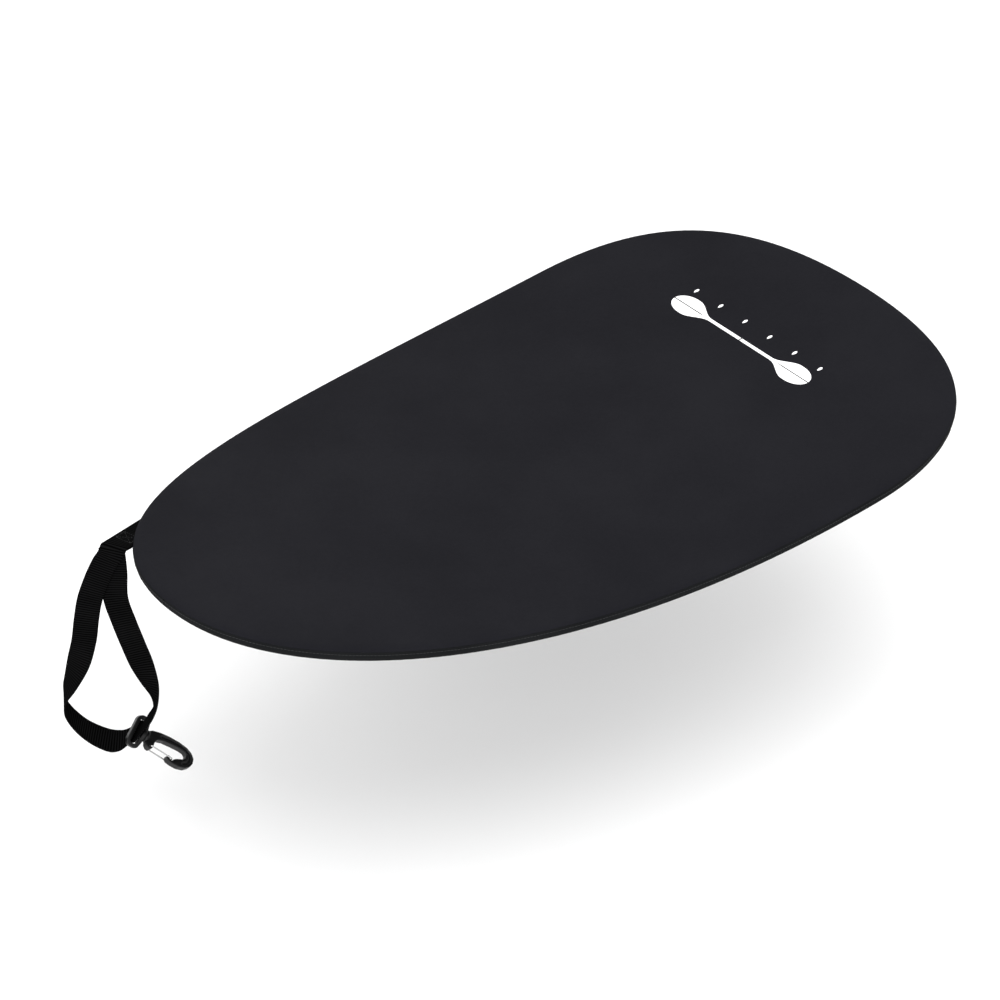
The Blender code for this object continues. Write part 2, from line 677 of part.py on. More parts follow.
def wire_gate(group, parent):
    """Sprung wire bail: two legs beside the hook, joined by a bar behind the nose."""
    reach = hypot(GATE_LATCH[0] - GATE_PIVOT[0], GATE_LATCH[1] - GATE_PIVOT[1])
    side = HOOK_THICKNESS / 2 + GATE_CLEARANCE + GATE_WIRE_RADIUS
    bend = GATE_BEND
    inner = side - GATE_PIN_LENGTH - bend
    half = [(0, 0, inner), (0, 0, side - bend), (0.0005, 0, side - 0.0005), (bend, 0, side),
            (reach - bend, 0, side), (reach - 0.0005, 0, side - 0.0005), (reach, 0, side - bend)]
    route = half + [(x, y, -z) for x, y, z in reversed(half)]
    curve = bpy.data.curves.new("wire_gate", "CURVE")
    curve.dimensions = "3D"
    curve.bevel_depth = GATE_WIRE_RADIUS
    curve.bevel_resolution = 2
    curve.use_fill_caps = True
    spline = curve.splines.new("POLY")
    spline.points.add(len(route) - 1)
    for point, place in zip(spline.points, route):
        point.co = (*place, 1)
    spline.use_smooth = True
    add_object("wire_gate", curve, group, material("gate_wire", STEEL, 0.25, 1.0), parent)


def gate_frame():
    rise = (GATE_LATCH[1] - GATE_PIVOT[1]) / (GATE_LATCH[0] - GATE_PIVOT[0])
    turn = Vector((1, rise)).angle_signed(Vector((1, 0)))
    return Matrix.Translation((*GATE_PIVOT, 0)) @ Matrix.Rotation(turn, 4, "Z")


def build():
    clear_scene()
    parts = collection("cockpit_cover")
    cutters = collection("cutters", hidden=True)
    top_panel(parts)
    webbing = material("tether_webbing", BLACK, 0.8)
    skirt_halves(parts, tether_lead(parts, cutters, webbing))
    hem_casings(parts)
    shock_cord(parts)
    cord_crimp(parts)
    anchor_patch(parts)
    fold = empty("fold_hinge", parts, fold_frame(), None)
    tether_loop(parts, fold, webbing)
    eye = empty("eye_hinge", parts, eye_frame(), fold)
    swivel_eye(parts, cutters, eye)
    hook = empty("hook_swivel", parts, hook_frame(), eye)
    hook_body(parts, cutters, hook)
    gate = empty("gate_hinge", parts, gate_frame(), hook)
    wire_gate(parts, gate)
    bpy.context.view_layer.update()


build()
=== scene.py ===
import json
import math
import bmesh
import bpy
import numpy as np
from mathutils import Matrix, Vector


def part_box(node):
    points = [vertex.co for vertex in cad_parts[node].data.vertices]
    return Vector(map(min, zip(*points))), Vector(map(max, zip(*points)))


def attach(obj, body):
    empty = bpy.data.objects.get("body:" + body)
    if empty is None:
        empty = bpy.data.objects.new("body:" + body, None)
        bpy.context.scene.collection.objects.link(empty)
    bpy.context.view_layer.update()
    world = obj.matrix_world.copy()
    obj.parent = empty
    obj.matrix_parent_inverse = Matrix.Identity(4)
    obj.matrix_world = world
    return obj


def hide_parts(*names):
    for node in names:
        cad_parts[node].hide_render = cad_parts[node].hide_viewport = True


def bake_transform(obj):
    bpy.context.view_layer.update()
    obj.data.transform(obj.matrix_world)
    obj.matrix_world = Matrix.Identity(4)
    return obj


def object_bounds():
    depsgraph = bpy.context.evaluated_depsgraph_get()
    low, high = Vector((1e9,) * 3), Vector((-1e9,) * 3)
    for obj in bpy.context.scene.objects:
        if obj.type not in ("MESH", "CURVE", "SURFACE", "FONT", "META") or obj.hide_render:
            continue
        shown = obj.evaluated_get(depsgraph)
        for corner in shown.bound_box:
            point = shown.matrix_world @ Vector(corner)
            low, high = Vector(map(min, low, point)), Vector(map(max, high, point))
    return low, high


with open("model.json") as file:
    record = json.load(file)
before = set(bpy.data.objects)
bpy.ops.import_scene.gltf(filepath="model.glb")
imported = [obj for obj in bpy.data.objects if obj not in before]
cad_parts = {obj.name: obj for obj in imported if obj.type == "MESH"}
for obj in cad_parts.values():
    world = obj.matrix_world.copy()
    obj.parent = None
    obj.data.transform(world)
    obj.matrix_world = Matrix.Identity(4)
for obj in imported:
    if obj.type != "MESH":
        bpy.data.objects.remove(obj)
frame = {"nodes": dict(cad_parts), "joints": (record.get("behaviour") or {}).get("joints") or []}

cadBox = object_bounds()
nodes = frame["nodes"]
joints = {joint["name"]: joint for joint in frame["joints"]}
print("cover frame loaded with", len(nodes), "parts")


# camera first, then the tether

cameraSetup = {
    "azimuth": -38.767, "elevation": 34.625,     # degrees, azimuth 0 looks along +Y
    "distance": 4.0, "aim": (0.0, 0.0, 0.003),
    "lens": 140.77, "sensor": 36.0,
    "shift": (-0.0323, -0.0377),
}


def placeCamera(setup):
    a, e = math.radians(setup["azimuth"]), math.radians(setup["elevation"])
    back = Vector((math.sin(a) * math.cos(e), -math.cos(a) * math.cos(e), math.sin(e)))
    data = bpy.data.cameras.new("camera")
    data.lens, data.sensor_width = setup["lens"], setup["sensor"]
    data.shift_x, data.shift_y = setup["shift"]
    camera = bpy.data.objects.new("camera", data)
    camera.location = Vector(setup["aim"]) + back * setup["distance"]
    camera.rotation_mode = "QUATERNION"
    camera.rotation_quaternion = (-back).to_track_quat("-Z", "Y")
    bpy.context.scene.collection.objects.link(camera)
    bpy.context.scene.camera = camera
    print("camera placed")


placeCamera(cameraSetup)


# mesh helpers

def addPiece(name, points, faces, surface, smooth=True, coords=None):
    mesh = bpy.data.meshes.new(name)
    mesh.from_pydata([tuple(map(float, p)) for p in points], [], faces)
    if coords is not None:                       # flat position of every point on the cloth, in metres
        layer = mesh.uv_layers.new(name="cloth")
        flat = np.asarray(coords, float)
        corners = np.empty(len(mesh.loops), int)
        mesh.loops.foreach_get("vertex_index", corners)
        layer.uv.foreach_set("vector", flat[corners].astype(np.float32).ravel())
    mesh.polygons.foreach_set("use_smooth", [smooth] * len(mesh.polygons))
    mesh.materials.append(surface)
    mesh.update()
    piece = bpy.data.objects.new(name, mesh)
    bpy.context.scene.collection.objects.link(piece)
    return piece


def gridFaces(rows, columns, closeRows=False, closeColumns=False, flip=False):
    faces = []
    for i in range(rows if closeRows else rows - 1):
        for j in range(columns if closeColumns else columns - 1):
            a, b = i * columns + j, i * columns + (j + 1) % columns
            c, d = ((i + 1) % rows) * columns + (j + 1) % columns, ((i + 1) % rows) * columns + j
            faces.append((a, b, c, d) if flip else (a, d, c, b))
    return faces


def endCaps(rows, columns, flip=False):
    first, last = tuple(range(columns)), tuple((rows - 1) * columns + j for j in range(columns))
    return [first, last[::-1]] if flip else [first[::-1], last]


def pipeFaces(rows, sides):
    # outer wall, inner wall and the two ring-shaped ends; the inner points follow the outer ones
    inside = rows * sides
    faces = gridFaces(rows, sides, closeColumns=True)
    lining = gridFaces(rows, sides, closeColumns=True, flip=True)
    faces += [tuple(inside + v for v in face) for face in lining]
    for row, turned in ((0, False), ((rows - 1) * sides, True)):
        for k in range(sides):
            a, b = row + k, row + (k + 1) % sides
            ring = (a, b, inside + b, inside + a)
            faces.append(ring[::-1] if turned else ring)
    return faces


def through(values, i, t):
    # smooth curve through a list of vectors, at part t of the way from entry i
    last = len(values) - 1
    a, b, c, d = (Vector(values[min(max(k, 0), last)]) for k in (i - 1, i, i + 1, i + 2))
    return 0.5 * (2 * b + (c - a) * t + (2 * a - 5 * b + 4 * c - d) * t * t
                  + (3 * b - 3 * c + d - a) * t * t * t)


def wander(place, seed, octaves=3):
    # repeatable smooth wave of about -1 to 1 along a length, with no period in sight
    place = np.asarray(place, float)
    value, size = np.zeros_like(place), 1.0
    for k in range(octaves):
        turn = 1.0 + 0.37 * k + 0.618 * ((seed * 13 + k * 7) % 11) / 11
        value = value + size * np.sin(place * turn * 2 ** k + seed * 2.4 + k * 1.9)
        size *= 0.55
    return value / 1.9


# shader helpers

class Wire:
    # a socket of a surface; sums and products on it add Math nodes
    def __init__(self, surface, socket):
        self.surface, self.socket = surface, socket

    def math(self, operation, *values):
        return self.surface.node("ShaderNodeMath", {"operation": operation}, dict(enumerate(values)))

    def __add__(self, other): return self.math("ADD", self, other)
    def __radd__(self, other): return self.math("ADD", other, self)
    def __sub__(self, other): return self.math("SUBTRACT", self, other)
    def __rsub__(self, other): return self.math("SUBTRACT", other, self)
    def __mul__(self, other): return self.math("MULTIPLY", self, other)
    def __rmul__(self, other): return self.math("MULTIPLY", other, self)
    def __truediv__(self, other): return self.math("DIVIDE", self, other)
    def __pow__(self, other): return self.math("POWER", self, other)
    def __abs__(self): return self.math("ABSOLUTE", self)


class Surface:
    def __init__(self, name, **fixed):
        self.material = bpy.data.materials.new(name)
        self.material.use_nodes = True
        self.tree = self.material.node_tree
        self.shader = self.tree.nodes["Principled BSDF"]
        for socket, value in fixed.items():      # values that are the same all over
            self.shader.inputs[socket.replace("_", " ")].default_value = value

    def node(self, kind, settings=None, values=None, output=0):
        made = self.tree.nodes.new(kind)
        for key, value in (settings or {}).items():
            setattr(made, key, value)
        for key, value in (values or {}).items():
            if isinstance(value, Wire):
                self.tree.links.new(value.socket, made.inputs[key])
            else:
                made.inputs[key].default_value = value
        return Wire(self, made.outputs[output])

    def feed(self, socket, wire):
        self.tree.links.new(wire.socket, self.shader.inputs[socket])

    def clothPlace(self):
        place = self.node("ShaderNodeUVMap", {"uv_map": "cloth"})
        return [self.node("ShaderNodeSeparateXYZ", None, {0: place}, k) for k in (0, 1)] + [place]

    def solidPlace(self):
        return self.node("ShaderNodeTexCoord", None, None, "Object")

    def noise(self, place, scale, detail=2.0, rough=0.5):
        return self.node("ShaderNodeTexNoise", None, {
            "Vector": place, "Scale": scale, "Detail": detail, "Roughness": rough}, "Fac")

    def wave(self, along, period, shift=0.0):
        # 0 to 1 and back over one period
        return self.node("ShaderNodeMath", {"operation": "SINE"},
                         {0: along * (2 * math.pi / period) + shift}) * 0.5 + 0.5

    def between(self, value, low, high, toLow=0.0, toHigh=1.0):
        return self.node("ShaderNodeMapRange", {"interpolation_type": "SMOOTHSTEP"}, {
            "Value": value, "From Min": low, "From Max": high, "To Min": toLow, "To Max": toHigh})

    def tint(self, share, first, second):
        return self.node("ShaderNodeMix", {"data_type": "RGBA"}, {
            "Factor": share, "A": (*first, 1.0), "B": (*second, 1.0)}, "Result")

    def relief(self, height, depth, under=None):
        values = {"Height": height, "Distance": depth, "Strength": 1.0}
        if under is not None:
            values["Normal"] = under
        return self.node("ShaderNodeBump", None, values)


print("helpers ready")


# tether webbing: one strip from under the rim, out to the fold, down round the eye and back

strap = {
    "width": 0.025, "thickness": 0.0016, "layerGap": 0.0004,
    "outward": (-0.9309, -0.3342, 0.1477),       # the sewn lead's way out from under the rim
    "across": (0.3301, -0.9425, -0.0524),
    "leadOut": 0.036, "leadIn": 0.036,           # from the rim to the fold, and in under the rim
    "stepsBetween": 5, "leadSteps": 10, "foldRoom": 0.25,
    "turnRoom": 0.0032, "turnRise": (0.0007, 0.0003), "spread": ((0, 1.08), (1, 1.03), (-1, 1.03)),
    "edgeRound": 0.94, "selvedge": 0.12, "cup": 0.00025,
}
hangingRoute = [                                 # centre and width direction, from the fold line
    ((0.0000, -0.0010, 0.0000), (1.00, 0.00, 0.00)),
    ((-0.0043, -0.0010, -0.0094), (0.95, 0.00, -0.30)),
    ((-0.0097, -0.0010, -0.0179), (0.92, 0.00, -0.38)),
    ((-0.0189, -0.0010, -0.0386), (0.90, 0.00, -0.43)),
    ((-0.0273, -0.0010, -0.0631), (0.96, 0.00, -0.28)),
    ((-0.0321, -0.0010, -0.0877), (0.98, 0.00, -0.17)),
    ((-0.0361, 0.0000, -0.1133), (0.99, 0.00, -0.14)),
    ((-0.0434, 0.0000, -0.1409), (0.90, -0.38, -0.22)),
    ((-0.0531, 0.0000, -0.1661), (0.52, -0.84, -0.18)),
    ((-0.0597, 0.0000, -0.1826), (0.18, -0.97, -0.14)),
    ((-0.0598, 0.0000, -0.1992), (0.05, -0.99, -0.10)),
    ((-0.0509, 0.0000, -0.2159), (0.00, -0.96, -0.25)),
    ((-0.0378, 0.0010, -0.2308), (0.00, -0.92, -0.38)),
    ((-0.0205, 0.0030, -0.2427), (-0.10, -0.88, -0.45)),
    ((-0.0093, 0.0060, -0.2459), (-0.25, -0.82, -0.50)),
    ((0.0001, 0.0072, -0.2417), (-0.36, -0.76, -0.54)),
    ((0.0077, 0.0042, -0.2325), (-0.42, -0.71, -0.56)),
    ((0.0102, 0.0000, -0.2291), (-0.42, -0.71, -0.56)),
    ((0.0128, -0.0042, -0.2257), (-0.42, -0.71, -0.56)),
    ((0.0201, -0.0072, -0.2128), (-0.30, -0.88, -0.35)),
    ((0.0281, -0.0070, -0.2000), (-0.08, -0.98, -0.15)),
    ((0.0296, -0.0058, -0.1844), (0.38, -0.92, 0.00)),
    ((0.0263, -0.0030, -0.1663), (0.82, -0.55, 0.12)),
    ((0.0199, -0.0008, -0.1440), (0.95, -0.12, 0.28)),
    ((0.0127, 0.0000, -0.1196), (0.94, 0.00, 0.33)),
    ((0.0049, 0.0006, -0.0914), (0.97, 0.00, 0.25)),
    ((-0.0017, 0.0010, -0.0621), (0.99, 0.00, 0.10)),
    ((-0.0007, 0.0010, -0.0303), (1.00, 0.00, 0.00)),
    ((-0.0021, 0.0010, 0.0000), (1.00, 0.00, 0.00)),
]


def foldMatrix():
    joint = joints["tether_swing"]
    x = Vector(joint["axis"]).normalized()
    z = Vector((0, 0, 1))
    return Matrix.Translation(Vector(joint["pos_m"])) @ Matrix((x, z.cross(x), z)).transposed().to_4x4()


def leadAxes(setup):
    outward = Vector(setup["outward"]).normalized()
    across = Vector(setup["across"])
    across = (across - outward * across.dot(outward)).normalized()
    normal = outward.cross(across).normalized()
    if normal.z < 0:
        normal = -normal
    fold = foldMatrix()
    crossing = fold.translation - outward * setup["leadOut"]
    return crossing, outward, across, normal, fold


def strapSections(setup):
    crossing, outward, across, normal, fold = leadAxes(setup)
    half = setup["width"] / 2
    lift = (setup["thickness"] + setup["layerGap"]) / 2
    foldX = (fold.to_3x3() @ Vector((1, 0, 0))).normalized()
    crease = (foldX - normal * foldX.dot(normal)).normalized()
    creaseHalf = crease * half / crease.dot(across)

    def lead(side):
        rows = []
        for k in range(setup["leadSteps"] + 1):
            t = k / setup["leadSteps"]
            end = setup["leadOut"] - setup["turnRoom"] - lift * (1 - side) / 2
            at = -setup["leadIn"] + (end + setup["leadIn"]) * t
            width = (across * half).lerp(creaseHalf, max(0.0, (t - 0.72) / 0.28) ** 2)
            rows.append((crossing + outward * at + normal * side * lift, width))
        return rows

    centres = [fold @ Vector(point) for point, _ in hangingRoute]
    widths = [(fold.to_3x3() @ Vector(width)).normalized() * half for _, width in hangingRoute]
    for k, wider in setup["spread"]:             # the diagonal fold spreads the strip
        widths[k] = widths[k] * wider
    hanging = []
    for i in range(len(centres) - 1):
        for k in range(setup["stepsBetween"]):
            t = k / setup["stepsBetween"]
            if i + t >= setup["foldRoom"]:
                hanging.append((through(centres, i, t), through(widths, i, t)))
    hanging.append((through(centres, len(centres) - 2, 0.92), widths[-1]))

    def turn(first, corner, last):
        rows = []
        for t in (0.25, 0.45, 0.62, 0.8):
            centre = first[0] * (1 - t) ** 2 + corner * 2 * t * (1 - t) + last[0] * t * t
            rows.append((centre, first[1].lerp(last[1], t)))
        return rows

    upper, lower = lead(1), lead(-1)
    topCorner = fold @ Vector(hangingRoute[0][0])
    topCorner.z = upper[-1][0].z + setup["turnRise"][0]
    lowCorner = fold @ Vector(hangingRoute[-1][0])
    lowCorner.z = lower[-1][0].z + setup["turnRise"][1]
    rows = upper + turn(upper[-1], topCorner, hanging[0]) + hanging
    rows += turn(hanging[-1], lowCorner, lower[-1]) + lower[::-1]
    return rows


def stripSection(setup):
    # outline across the webbing: round edges and slightly thicker selvedges
    half = setup["thickness"] / 2
    spots = [-1.0, -setup["edgeRound"], -0.82, -0.6, -0.3, 0.0, 0.3, 0.6, 0.82, setup["edgeRound"], 1.0]
    thick = 1.0 + setup["selvedge"]
    heights = [0.38, thick, 1.0, 0.96, 0.95, 0.95, 0.95, 0.96, 1.0, thick, 0.38]
    top = [(u, half * h) for u, h in zip(spots, heights)]
    return top + [(u, -h) for u, h in reversed(top)]


def buildStrap(setup, surface):
    rows = strapSections(setup)
    outline = stripSection(setup)
    centres = [centre for centre, _ in rows]
    length, distances = 0.0, [0.0]
    for a, b in zip(centres, centres[1:]):
        length += (b - a).length
        distances.append(length)
    points, coords = [], []
    for k, (centre, width) in enumerate(rows):
        along = (centres[min(k + 1, len(rows) - 1)] - centres[max(k - 1, 0)]).normalized()
        flatWidth = width - along * width.dot(along) * 0.55       # keeps the fold's slant
        face = along.cross(flatWidth).normalized()
        for u, h in outline:
            cup = setup["cup"] * (1 - u * u)
            points.append(centre + flatWidth * u + face * (h + cup))
            coords.append((u * setup["width"] / 2, distances[k]))
    columns = len(outline)
    faces = gridFaces(len(rows), columns, closeColumns=True, flip=True)
    faces += endCaps(len(rows), columns, flip=True)
    piece = addPiece("tetherStrap", points, faces, surface, coords=coords)
    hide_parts("tether_loop", "tether_lead")
    crossing, outward, across, normal, fold = leadAxes(setup)
    way = (outward * 0.6 + Vector((0, 0, -0.8))).normalized()
    tuple(fold.translation - way * 0.007)
    tuple(fold.translation + way * 0.010)
    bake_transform(piece)
    print("tether strap:", len(rows), "rows,", round(length, 3), "m long")
    return piece, centres, length


def declareStrap(setup):
    crossing, outward, _, _, _ = leadAxes(setup)
    tuple(crossing - outward * 0.012)


def webbingSurface():
    # dark is painted shade in the grooves between the ribs, light is painted highlight on the rib crests
    look = {"dark": (0.0007, 0.0007, 0.0007), "light": (0.0062, 0.0062, 0.0064),
            "rib": 0.0028, "thread": 0.00125}
    surface = Surface("black webbing", Specular_IOR_Level=0.0)
    across, along, place = surface.clothPlace()
    rib = surface.wave(along, look["rib"]) ** 0.7
    lean = surface.wave(across + along * 0.18, look["thread"])
    fibres = surface.noise(place, 900.0, 2.0)
    height = rib * 0.75 + lean * 0.2 * rib + fibres * 0.1
    # painted highlight on the rib crests and painted shade in the grooves, following the rib relief, with
    # some random tone from the noise
    shade = surface.between(height + surface.noise(place, 30.0) * 0.5, 0.35, 1.35)
    surface.feed("Base Color", surface.tint(shade, look["dark"], look["light"]))
    surface.feed("Roughness", surface.between(fibres + rib * 0.4, 0.3, 1.1, 0.8, 0.6))
    surface.feed("Normal", surface.relief(height, 0.0005))
    return surface.material


webbing = webbingSurface()
strapPiece = buildStrap(strap, webbing)


# the rim line that every cover piece follows

rim = {
    "noseLength": 0.683, "tailLength": 0.223, "width": 0.544,
    "noseRoundness": 0.708, "noseReach": 0.572, "tailReach": 0.686, "tailRoundness": 0.679,
    "rise": 0.040, "panelThickness": 0.003, "crown": 0.0012,
}


def curveThrough(corners, steps):
    a, b, c, d = (np.array(p, float) for p in corners)
    t = np.linspace(0, 1, steps)[:, None]
    s = 1 - t
    return s ** 3 * a + 3 * s * s * t * b + 3 * s * t * t * c + t ** 3 * d


def rimLine(setup):
    # closed table of places on the rim, evenly spaced by length, from the nose along the port side
    half, length = setup["width"] / 2, setup["noseLength"] + setup["tailLength"]
    nose, wide, tail = -length / 2, setup["noseLength"] - length / 2, length / 2
    front = curveThrough([(nose, 0), (nose, setup["noseRoundness"] * half),
                          (wide - setup["noseReach"] * setup["noseLength"], half), (wide, half)], 900)
    back = curveThrough([(wide, half), (wide + setup["tailReach"] * setup["tailLength"], half),
                         (tail, setup["tailRoundness"] * half), (tail, 0)], 500)
    port = np.vstack([front, back[1:]])
    whole = np.vstack([port, port[-2::-1] * (1, -1)])
    steps = np.linalg.norm(np.diff(whole, axis=0), axis=1)
    return whole, np.concatenate([[0.0], np.cumsum(steps)])


rimTable, rimDistance = rimLine(rim)
rimLength = float(rimDistance[-1])


def rimAt(distance):
    # places and outward directions at distances round the rim
    around = np.mod(np.asarray(distance, float), rimLength)
    place = np.stack([np.interp(around, rimDistance, rimTable[:, k]) for k in (0, 1)], -1)
    ahead, behind = np.mod(around + 0.004, rimLength), np.mod(around - 0.004, rimLength)
    slope = np.stack([np.interp(ahead, rimDistance, rimTable[:, k])
                      - np.interp(behind, rimDistance, rimTable[:, k]) for k in (0, 1)], -1)
    slope /= np.linalg.norm(slope, axis=-1, keepdims=True)
    return place, np.stack([-slope[..., 1], slope[..., 0]], -1)


def rise(x):
    return rim["rise"] * (2 * x / (rim["noseLength"] + rim["tailLength"])) ** 2


def rimPlace(distance, out, up):
    # points out from the rim line and up from the panel's underside
    place, normal = rimAt(distance)
    spot = place + normal * np.asarray(out, float)[..., None]
    return np.concatenate([spot, (rise(spot[..., 0]) + up)[..., None]], -1)


def coverTop(x, y):
    # height of the taut cloth, with a slight crown in the middle
    across, along = 2 * y / rim["width"], 2 * x / (rim["noseLength"] + rim["tailLength"])
    crown = np.clip(1 - across * across, 0, 1) * np.clip(1 - along * along, 0, 1)
    return rise(x) + rim["panelThickness"] + rim["crown"] * crown


print("rim line is", round(rimLength, 3), "m round")


# cover cloth

def coverSurface():
    look = {"dark": (0.0060, 0.0060, 0.0080), "light": (0.0078, 0.0078, 0.0102), "thread": 0.0011}
    surface = Surface("charcoal cover cloth", Specular_IOR_Level=0.06)
    place = surface.solidPlace()
    x = surface.node("ShaderNodeSeparateXYZ", None, {0: place}, 0)
    y = surface.node("ShaderNodeSeparateXYZ", None, {0: place}, 1)
    warp, weft = surface.wave(x, look["thread"]), surface.wave(y, look["thread"])
    over = surface.wave(x + y, look["thread"] * 2)
    weave = warp * over + weft * (1 - over)
    blotch = surface.noise(place, 7.0, 4.0, 0.55)
    fine = surface.noise(place, 260.0, 2.0)
    # mostly random tone from the blotch and fine noise; the weave term makes the thread crowns a little
    # lighter, a faint painted highlight
    shade = surface.between(blotch * 0.9 + fine * 0.25 + weave * 0.15, 0.35, 0.95)
    surface.feed("Base Color", surface.tint(shade, look["dark"], look["light"]))
    surface.feed("Roughness", surface.between(blotch + fine * 0.3, 0.35, 0.95, 0.84, 0.74))
    ripple = surface.relief(surface.noise(place, 16.0, 3.0), 0.0006)
    surface.feed("Normal", surface.relief(weave * 0.8 + fine * 0.4, 0.00012, ripple))
    return surface.material


coverSheet = {
    "stations": 720,
    "rings": [0.0, 0.06, 0.14, 0.22, 0.30, 0.38, 0.46, 0.54, 0.62, 0.70, 0.77, 0.83, 0.88, 0.92],
    "pucker": 0.00022, "puckerSpacing": 0.013, "puckerReach": 0.022,
    "edge": [(-0.0160, 0.0030), (-0.0110, 0.0030), (-0.0070, 0.0029), (-0.0042, 0.0026),
             (-0.0022, 0.0021), (-0.0009, 0.0013), (-0.0002, 0.0004), (-0.0002, -0.0001),
             (-0.0011, -0.0003)],
}


def buildCoverSheet(setup, surface):
    count = setup["stations"]
    around = np.arange(count) * rimLength / count
    wave = wander(around / setup["puckerSpacing"] * 2 * math.pi, 3)
    inner = rimPlace(around, np.full(count, setup["edge"][0][0]), 0.0)[:, :2]
    points = []
    for share in setup["rings"][1:]:
        spot = inner * share
        points.append(np.column_stack([spot, coverTop(spot[:, 0], spot[:, 1])]))
    for out, up in setup["edge"]:
        near = math.exp(out / setup["puckerReach"] * 2.2) * min(1.0, max(0.0, up / 0.0026))
        points.append(rimPlace(around, np.full(count, out), up + wave * setup["pucker"] * near))
    for out in (setup["edge"][-1][0] * 3, setup["edge"][0][0]):
        points.append(rimPlace(around, np.full(count, out), 0.0))
    for share in setup["rings"][:0:-1]:
        spot = inner * share
        points.append(np.column_stack([spot, rise(spot[:, 0])]))
    rows = len(points)
    faces = gridFaces(rows, count, closeColumns=True)
    flat = np.vstack(points)
    top, bottom = len(flat), len(flat) + 1
    flat = np.vstack([flat, [[0, 0, coverTop(0.0, 0.0)], [0, 0, 0]]])
    faces += [(top, j, (j + 1) % count) for j in range(count)]
    last = (rows - 1) * count
    faces += [(bottom, last + (j + 1) % count, last + j) for j in range(count)]
    piece = addPiece("coverSheet", flat, faces, surface)
    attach(piece, "cover")
    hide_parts("top_panel")
    edge, _ = rimAt(around)
    return piece


coverCloth = coverSurface()
buildCoverSheet(coverSheet, coverCloth)


# skirt: the side band and the gathered turn-under, in a port and a starboard half

skirt = {
    "thickness": 0.0015, "seamGap": 0.0004,
    "profile": [(-0.0009, -0.0004), (-0.0005, -0.0022), (-0.0004, -0.0042), (-0.0006, -0.0062),
                (-0.0010, -0.0080), (-0.0018, -0.0095), (-0.0030, -0.0108), (-0.0048, -0.0117),
                (-0.0072, -0.0122), (-0.0100, -0.0125), (-0.0132, -0.0127), (-0.0165, -0.0128),
                (-0.0200, -0.0128), (-0.0240, -0.0127)],
    "spacing": 0.0026, "gather": 0.0013, "gatherSpacing": 0.0125, "bulge": 0.0003,
}


def gatherWave(around, spacing, seed=5):
    turn = around / spacing * 2 * math.pi
    return np.sin(turn + 1.3 * wander(turn / 5, seed)) * (0.72 + 0.28 * wander(turn / 3, seed + 1))


def buildSkirtHalf(name, node, first, last, setup, surface):
    count = int((last - first) / setup["spacing"])
    around = np.linspace(first, last, count)
    wave = gatherWave(around, setup["gatherSpacing"])
    slack = wander(around / 0.031 * 2 * math.pi, 8, 2)
    profile = np.array(setup["profile"])
    steps = np.concatenate([[0], np.cumsum(np.linalg.norm(np.diff(profile, axis=0), axis=1))])
    slope = np.gradient(profile, axis=0)
    slope /= np.linalg.norm(slope, axis=1, keepdims=True)
    side = np.column_stack([slope[:, 1], -slope[:, 0]])          # towards the inside of the bend
    layers, coords = [], []
    for sign in (1, -1):
        order = range(len(profile)) if sign == 1 else reversed(range(len(profile)))
        for k in order:
            share = steps[k] / steps[-1]
            rush = np.clip((share - 0.3) / 0.4, 0, 1) ** 1.4
            rush *= 1 - 0.5 * np.clip((share - 0.75) / 0.25, 0, 1)
            rush *= setup["gather"]
            band = math.sin(math.pi * min(1.0, share / 0.3)) * setup["bulge"]
            out = profile[k, 0] - side[k, 0] * sign * setup["thickness"] / 2 + band * slack
            up = profile[k, 1] - side[k, 1] * sign * setup["thickness"] / 2 + rush * wave
            layers.append(rimPlace(around, out + 0 * around, up + 0 * around))
            coords.append(np.column_stack([np.full(count, steps[k]), around]))
    rows = np.stack(layers, 1).reshape(-1, 3)                    # station by station
    flat = np.stack(coords, 1).reshape(-1, 2)
    columns = len(layers)
    faces = gridFaces(count, columns, closeColumns=True)
    faces += endCaps(count, columns)
    piece = addPiece(name, rows, faces, surface, coords=flat)
    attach(piece, "cover")
    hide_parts(node)
    print(name + ":", len(rows), "points")
    return piece


def bandSurface():
    look = {"dark": (0.0044, 0.0048, 0.0052), "light": (0.0064, 0.0068, 0.0074), "thread": 0.0011}
    surface = Surface("charcoal band cloth", Specular_IOR_Level=0.06)
    down, along, place = surface.clothPlace()
    warp, weft = surface.wave(down, look["thread"]), surface.wave(along, look["thread"])
    over = surface.wave(down + along, look["thread"] * 2)
    weave = warp * over + weft * (1 - over)
    fine = surface.noise(place, 300.0, 2.0)
    blotch = surface.noise(place, 12.0, 3.0)
    # mostly random tone from the blotch and fine noise; the weave term makes the thread crowns a little
    # lighter, a faint painted highlight
    surface.feed("Base Color", surface.tint(surface.between(blotch + fine * 0.2 + weave * 0.1, 0.3, 0.9),
                                            look["dark"], look["light"]))
    surface.feed("Roughness", surface.between(blotch + fine * 0.3, 0.35, 0.95, 0.9, 0.78))
    crease = surface.relief(surface.noise(place, 60.0, 2.0), 0.0005)
    surface.feed("Normal", surface.relief(weave * 0.8 + fine * 0.4, 0.00012, crease))
    return surface.material


bandCloth = bandSurface()
middle = rimLength / 2
seam = skirt["seamGap"] / 2
buildSkirtHalf("skirtPort", "skirt_port", seam, middle - seam, skirt, bandCloth)
buildSkirtHalf("skirtStarboard", "skirt_starboard", middle + seam, rimLength - seam, skirt, bandCloth)


# hem: two gathered casings, the elastic cord inside them and the crimp that joins its ends

hem = {
    "inward": 0.0282, "down": 0.0139, "radius": 0.0039, "wall": 0.0010, "sides": 14,
    "spacing": 0.0024, "ruffle": 0.0006, "sway": 0.0006, "mouth": 0.016,
    "cordRadius": 0.0025, "cordStations": 420, "crimpLength": 0.014, "crimpRadius": 0.0037,
    "crimpStations": 49, "crimpDents": 4, "dentDepth": 0.0005, "lipDepth": 0.0004, "boreRoom": 0.0002,
}


